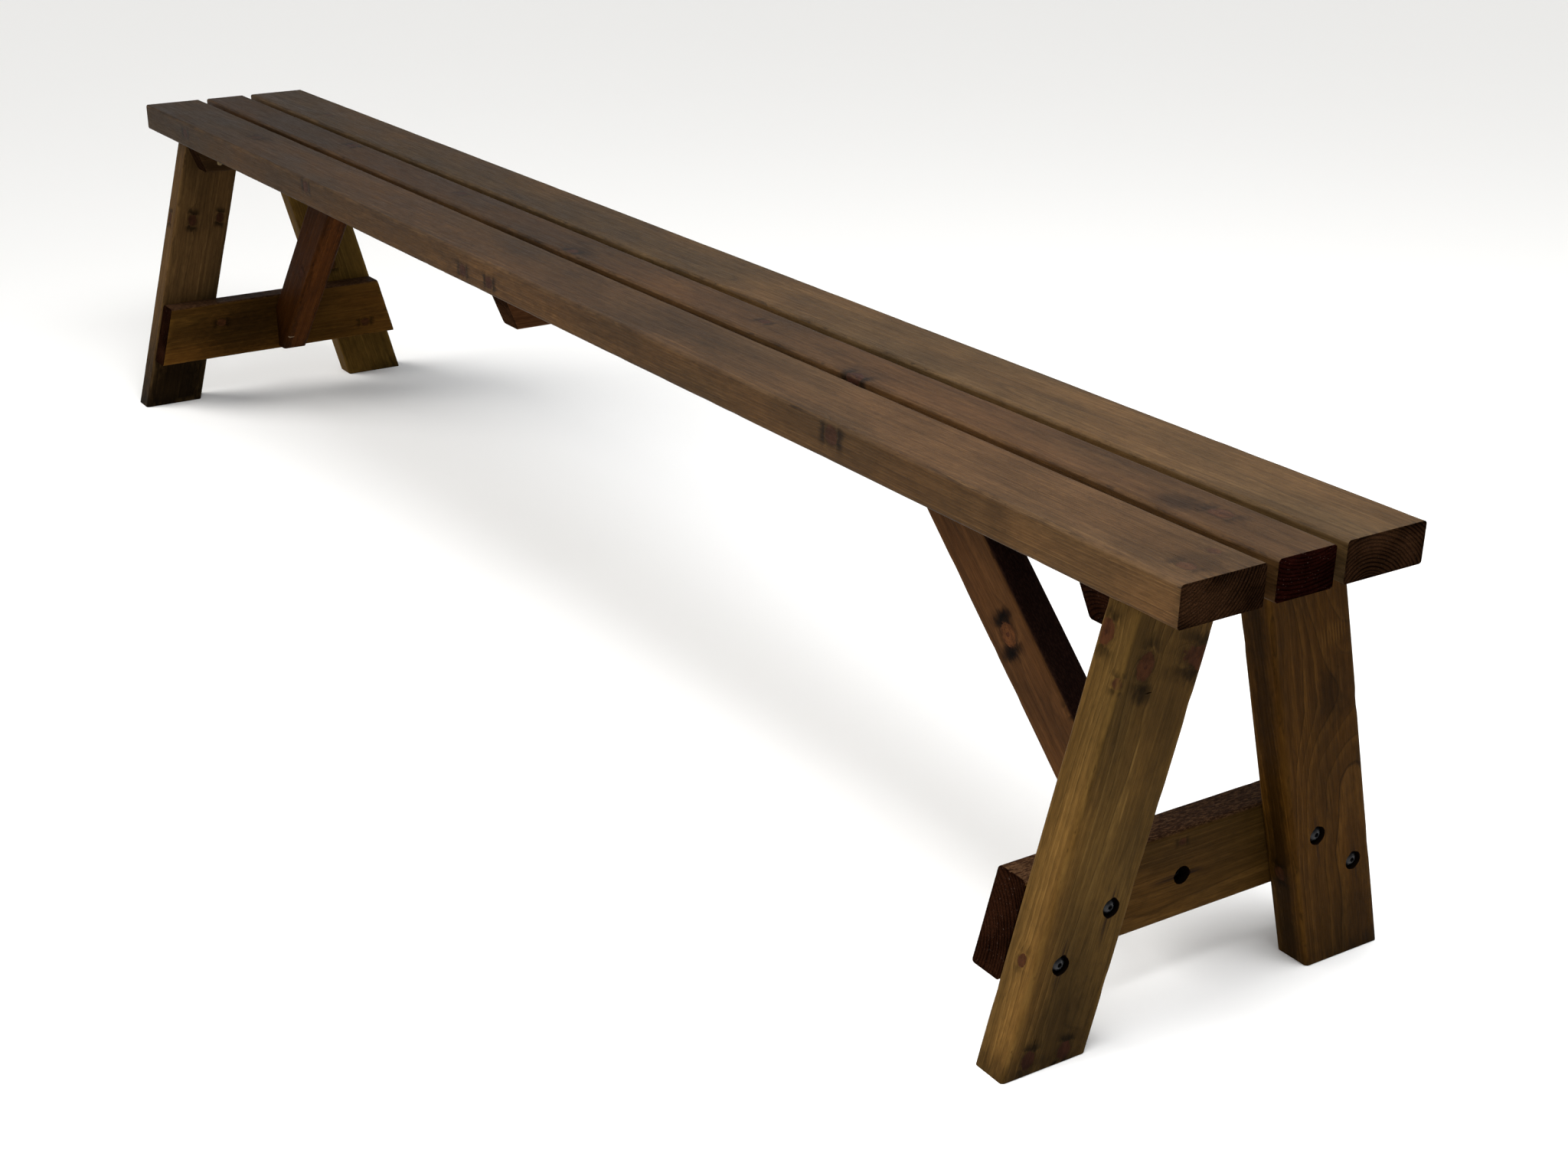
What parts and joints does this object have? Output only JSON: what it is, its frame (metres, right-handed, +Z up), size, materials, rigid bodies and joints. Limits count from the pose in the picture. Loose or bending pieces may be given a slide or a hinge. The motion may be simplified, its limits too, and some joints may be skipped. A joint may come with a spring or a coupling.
{
  "type": "garden bench",
  "caption": "Long backless timber bench: slatted plank seat on splayed A-frame legs with low stretchers and diagonal braces.",
  "frame": {"origin": "on the floor, under the middle of the seat", "axes": "+X along the seat towards the right-hand end, +Y across the seat towards the back, +Z up"},
  "size_m": [2.4, 0.447, 0.456],
  "materials": {
    "seat_wood": "dark brown stained softwood, satin, fine straight grain",
    "frame_wood": "dark brown stained softwood, satin, knotty",
    "black_screws": "glossy black domed heads",
    "plated_screws": "yellow zinc plated, satin"
  },
  "bodies": {
    "root": {"seat_plank_front": "seat_wood", "seat_plank_middle": "seat_wood", "seat_plank_back": "seat_wood", "leg_right_front": "frame_wood", "leg_right_back": "frame_wood", "leg_left_front": "frame_wood", "leg_left_back": "frame_wood", "bearer_right": "frame_wood", "bearer_left": "frame_wood", "batten_middle": "frame_wood", "stretcher_right": "frame_wood", "stretcher_left": "frame_wood", "brace_right": "frame_wood", "brace_left": "frame_wood", "frame_screws_right_front": "black_screws", "frame_screws_right_back": "black_screws", "frame_screws_left_front": "black_screws", "frame_screws_left_back": "black_screws", "foot_screw_right": "black_screws", "foot_screw_left": "black_screws", "seat_screws_right": "plated_screws", "seat_screws_left": "plated_screws", "seat_screws_middle": "plated_screws", "leg_top_screws_right": "plated_screws", "leg_top_screws_left": "plated_screws", "brace_top_screw_right": "plated_screws", "brace_top_screw_left": "plated_screws"}
  },
  "joints": []
}
